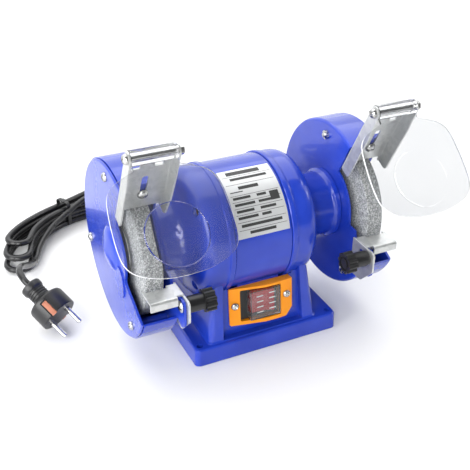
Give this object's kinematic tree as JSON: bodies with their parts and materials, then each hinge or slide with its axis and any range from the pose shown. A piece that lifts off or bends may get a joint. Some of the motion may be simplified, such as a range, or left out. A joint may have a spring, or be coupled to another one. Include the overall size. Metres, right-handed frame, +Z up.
{
  "type": "bench grinder",
  "caption": "Small double-ended bench grinder: motor on a cast base, guarded grinding wheels, adjustable tool rests, spark arrestors with clear eye shields, rocker switch and mains lead.",
  "frame": {"origin": "centre of the underside of the base, on the surface that the machine stands on", "axes": "+X along the shaft to the right-hand wheel, -Y to the front where the user stands, +Z up"},
  "size_m": [0.3503, 0.4141, 0.2271],
  "materials": {
    "blue_casting": "glossy blue enamel on die-cast aluminium",
    "blue_paint": "glossy blue enamel on pressed steel",
    "zinc_plate": "dull zinc plate",
    "bright_steel": "turned bright steel",
    "grey_stone": "bonded grey corundum, coarse",
    "clear_plastic": "clear moulded plastic",
    "orange_plastic": "satin moulding",
    "black_plastic": "satin moulding",
    "red_plastic": "glossy moulding",
    "black_rubber": "smooth cable sheath",
    "label_foil": null,
    "lamination": "stacked electrical sheet",
    "copper": "varnished copper wire",
    "brass": "nickel-plated brass",
    "white_plastic": "satin moulding"
  },
  "bodies": {
    "machine": {"arrestor_screw_left": "zinc_plate", "arrestor_screw_right": "zinc_plate", "base": "blue_casting", "base_plate": "zinc_plate", "bearing_left": "bright_steel", "bearing_right": "bright_steel", "bezel_screw_1": "zinc_plate", "bezel_screw_2": "zinc_plate", "capacitor": "white_plastic", "cord_gland": "black_rubber", "cord_hank": "black_rubber", "cord_tie": "black_plastic", "cover_screw_left_1": "zinc_plate", "cover_screw_left_2": "zinc_plate", "cover_screw_left_3": "zinc_plate", "cover_screw_right_1": "zinc_plate", "cover_screw_right_2": "zinc_plate", "cover_screw_right_3": "zinc_plate", "end_bell_left": "blue_casting", "end_bell_right": "blue_casting", "guard_cover_left": "blue_paint", "guard_cover_right": "blue_paint", "guard_housing_left": "blue_paint", "guard_housing_right": "blue_paint", "motor_tube": "blue_paint", "plug": "black_plastic", "plug_lead": "black_rubber", "plug_pin_a": "brass", "plug_pin_b": "brass", "power_cord": "black_rubber", "rating_plate": "label_foil", "rest_bolt_left": "bright_steel", "rest_bolt_right": "bright_steel", "splash_cover": "clear_plastic", "stator_core": "lamination", "switch_bezel": "orange_plastic", "switch_body": "black_plastic", "winding_left": "copper", "winding_right": "copper"},
    "rotor": {"shaft": "bright_steel", "rotor_core": "lamination", "inner_flange_left": "bright_steel", "inner_flange_right": "bright_steel", "outer_flange_left": "bright_steel", "outer_flange_right": "bright_steel", "wheel_left": "grey_stone", "wheel_right": "grey_stone", "wheel_nut_left": "zinc_plate", "wheel_nut_right": "zinc_plate"},
    "rocker_switch": {"rocker": "red_plastic"},
    "left_tool_rest": {"tool_rest_left": "zinc_plate"},
    "left_rest_knob": {"rest_knob_left": "black_plastic"},
    "left_spark_arrestor": {"spark_arrestor_left": "zinc_plate", "hinge_bolt_left": "zinc_plate"},
    "left_eye_shield": {"eye_shield_left": "clear_plastic"},
    "right_tool_rest": {"tool_rest_right": "zinc_plate"},
    "right_rest_knob": {"rest_knob_right": "black_plastic"},
    "right_spark_arrestor": {"spark_arrestor_right": "zinc_plate", "hinge_bolt_right": "zinc_plate"},
    "right_eye_shield": {"eye_shield_right": "clear_plastic"}
  },
  "joints": [
    {"name": "rotor_spin", "type": "hinge", "parent": "machine", "child": "rotor", "pos_m": [0, 0, 0.1027], "axis": [1, 0, 0], "continuous": true},
    {"name": "rocker_press", "type": "hinge", "parent": "machine", "child": "rocker_switch", "pos_m": [-0.0024, -0.05199, 0.04716], "axis": [0, 0.1045, 0.9945], "range_deg": [0, 20]},
    {"name": "left_rest_slide", "type": "slide", "parent": "machine", "child": "left_tool_rest", "axis": [0, -1, 0], "range_m": [-0.001, 0.01]},
    {"name": "left_knob_turn", "type": "hinge", "parent": "machine", "child": "left_rest_knob", "pos_m": [-0.0762, -0.082, 0.085], "axis": [-1, 0, 0], "range_deg": [0, 360]},
    {"name": "left_arrestor_slide", "type": "slide", "parent": "machine", "child": "left_spark_arrestor", "axis": [0, -0.4587, 0.8886], "range_m": [-0.0015, 0.0015]},
    {"name": "left_shield_tilt", "type": "hinge", "parent": "left_spark_arrestor", "child": "left_eye_shield", "pos_m": [-0.1078, -0.07218, 0.22074], "axis": [-1, 0, 0], "range_deg": [-20, 90]},
    {"name": "right_rest_slide", "type": "slide", "parent": "machine", "child": "right_tool_rest", "axis": [0, -1, 0], "range_m": [-0.001, 0.01]},
    {"name": "right_knob_turn", "type": "hinge", "parent": "machine", "child": "right_rest_knob", "pos_m": [0.0762, -0.082, 0.085], "axis": [1, 0, 0], "range_deg": [0, 360]},
    {"name": "right_arrestor_slide", "type": "slide", "parent": "machine", "child": "right_spark_arrestor", "axis": [0, -0.4587, 0.8886], "range_m": [-0.0015, 0.0015]},
    {"name": "right_shield_tilt", "type": "hinge", "parent": "right_spark_arrestor", "child": "right_eye_shield", "pos_m": [0.1078, -0.07218, 0.22074], "axis": [-1, 0, 0], "range_deg": [-20, 90]}
  ]
}
